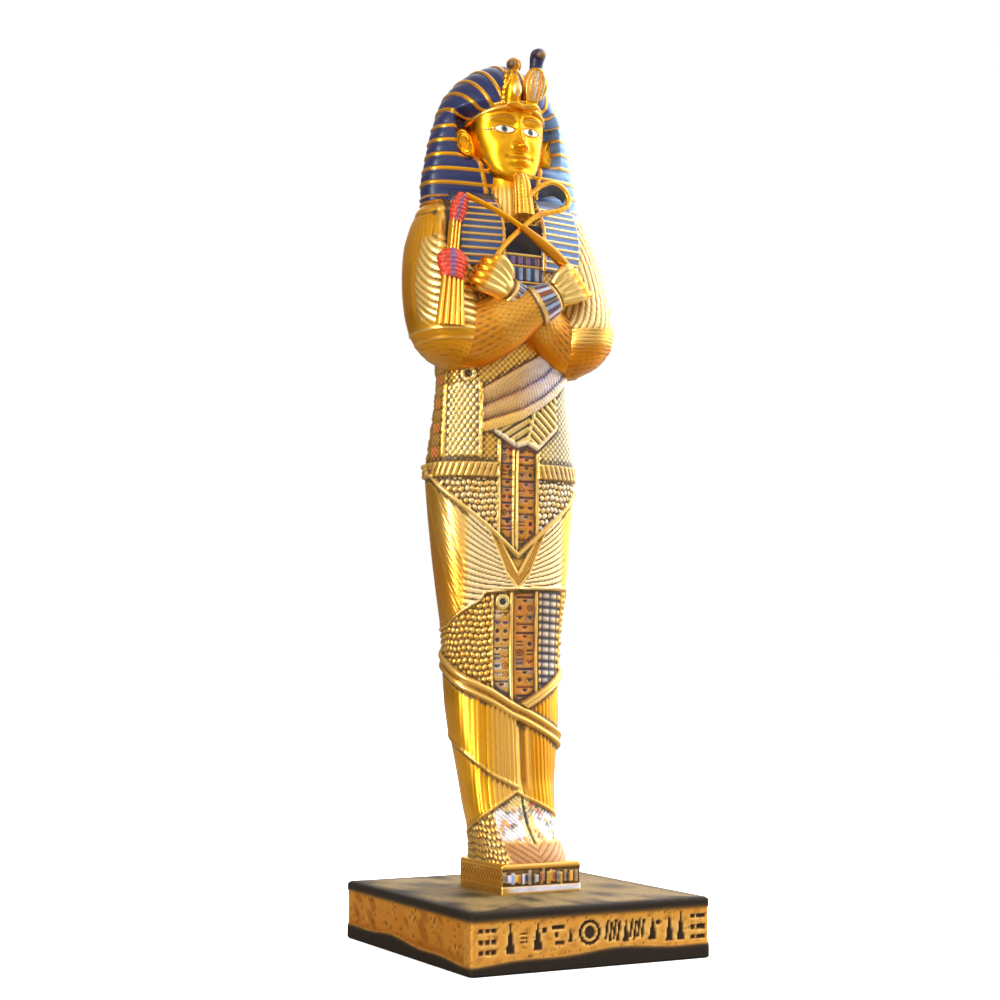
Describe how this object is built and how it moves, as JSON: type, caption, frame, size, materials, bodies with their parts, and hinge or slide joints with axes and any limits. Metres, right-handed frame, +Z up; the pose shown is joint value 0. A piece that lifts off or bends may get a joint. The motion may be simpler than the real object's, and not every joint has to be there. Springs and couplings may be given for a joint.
{
  "type": "egyptian pharaoh statue",
  "caption": "Standing mummiform royal figure with crossed arms, crook and flail, striped headcloth and carved feather bands, on a low square plinth.",
  "frame": {"origin": "middle of the plinth's underside", "axes": "+Z up along the figure, the figure faces -Y, +X to the right of someone who looks at its face"},
  "size_m": [0.0856, 0.0944, 0.3041],
  "materials": {
    "gilded_resin": "metallic gold paint over cast resin, antiqued with a dark brown wash",
    "blue_paint": "satin royal blue paint between raised gold stripes",
    "dark_resin": "worn charcoal brown paint with an ochre gold frieze"
  },
  "bodies": {
    "root": {"figure": "gilded_resin", "plinth": "dark_resin"}
  },
  "joints": []
}
